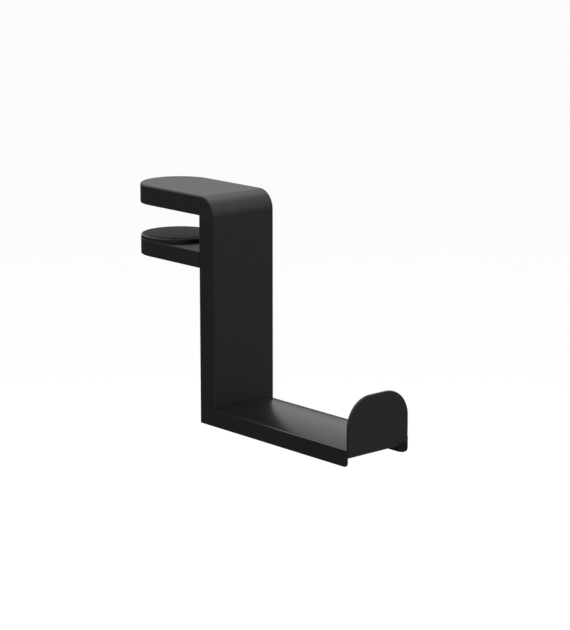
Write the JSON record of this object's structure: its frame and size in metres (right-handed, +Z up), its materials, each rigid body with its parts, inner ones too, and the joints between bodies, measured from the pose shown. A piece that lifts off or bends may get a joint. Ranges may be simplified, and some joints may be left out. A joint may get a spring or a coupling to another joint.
{
  "type": "headphone hook",
  "caption": "One-piece black hook with a crowned headband saddle and upturned lip, hung from a desk edge by a flat arm and a spring-loaded lower jaw",
  "frame": {"origin": "Middle of the round end of the arm, on the downward face of the arm's pad that bears on top of the desk", "axes": "+Z up, the hook reaches out along -Y, the desk enters along -Y from the +Y side, and X runs across the width, about which the part is symmetric"},
  "size_m": [0.0408, 0.1749, 0.1202],
  "materials": {
    "body_coat": "fine-grained satin black powder coat",
    "saddle_rubber": "soft-touch satin black with a faint mottle",
    "pad_rubber": "satin black moulded silicone",
    "cover_plastic": "fine spark-eroded texture",
    "slide_plastic": "moulded black acetal",
    "bush_plastic": "yellow-brown self-lubricating plastic",
    "rod_steel": "ground and hard chromed",
    "spring_steel": "drawn spring wire, lightly oiled",
    "bracket_steel": "zinc plated",
    "screw_steel": "black oxide"
  },
  "bodies": {
    "root": {"hook_frame": "body_coat", "headband_saddle": "saddle_rubber", "arm_cover": "cover_plastic", "arm_pad": "pad_rubber", "arm_cover_screws": "screw_steel", "lower_block": "slide_plastic", "upper_block": "slide_plastic", "upper_block_screws": "screw_steel", "lower_block_screws": "screw_steel", "left_guide_rod": "rod_steel", "right_guide_rod": "rod_steel", "left_stop_bumper": "pad_rubber", "right_stop_bumper": "pad_rubber", "left_spring": "spring_steel", "right_spring": "spring_steel", "rear_cover": "cover_plastic", "rear_cover_screws": "screw_steel"},
    "jaw": {"carriage": "slide_plastic", "left_lower_bush": "bush_plastic", "left_upper_bush": "bush_plastic", "right_lower_bush": "bush_plastic", "right_upper_bush": "bush_plastic", "jaw_bracket": "bracket_steel", "bracket_screws": "screw_steel", "lower_jaw": "body_coat", "jaw_screws": "screw_steel", "jaw_base_cover": "cover_plastic", "jaw_base_screws": "screw_steel", "pressure_disc": "body_coat", "disc_pad": "pad_rubber", "disc_screw": "screw_steel"}
  },
  "joints": [
    {"name": "jaw_slide", "type": "slide", "parent": "root", "child": "jaw", "axis": [0, 0, -1], "range_m": [0, 0.03], "stiffness_N_per_m": 1420, "springref_m": -0.012, "deforming": ["left_spring", "right_spring"]}
  ]
}
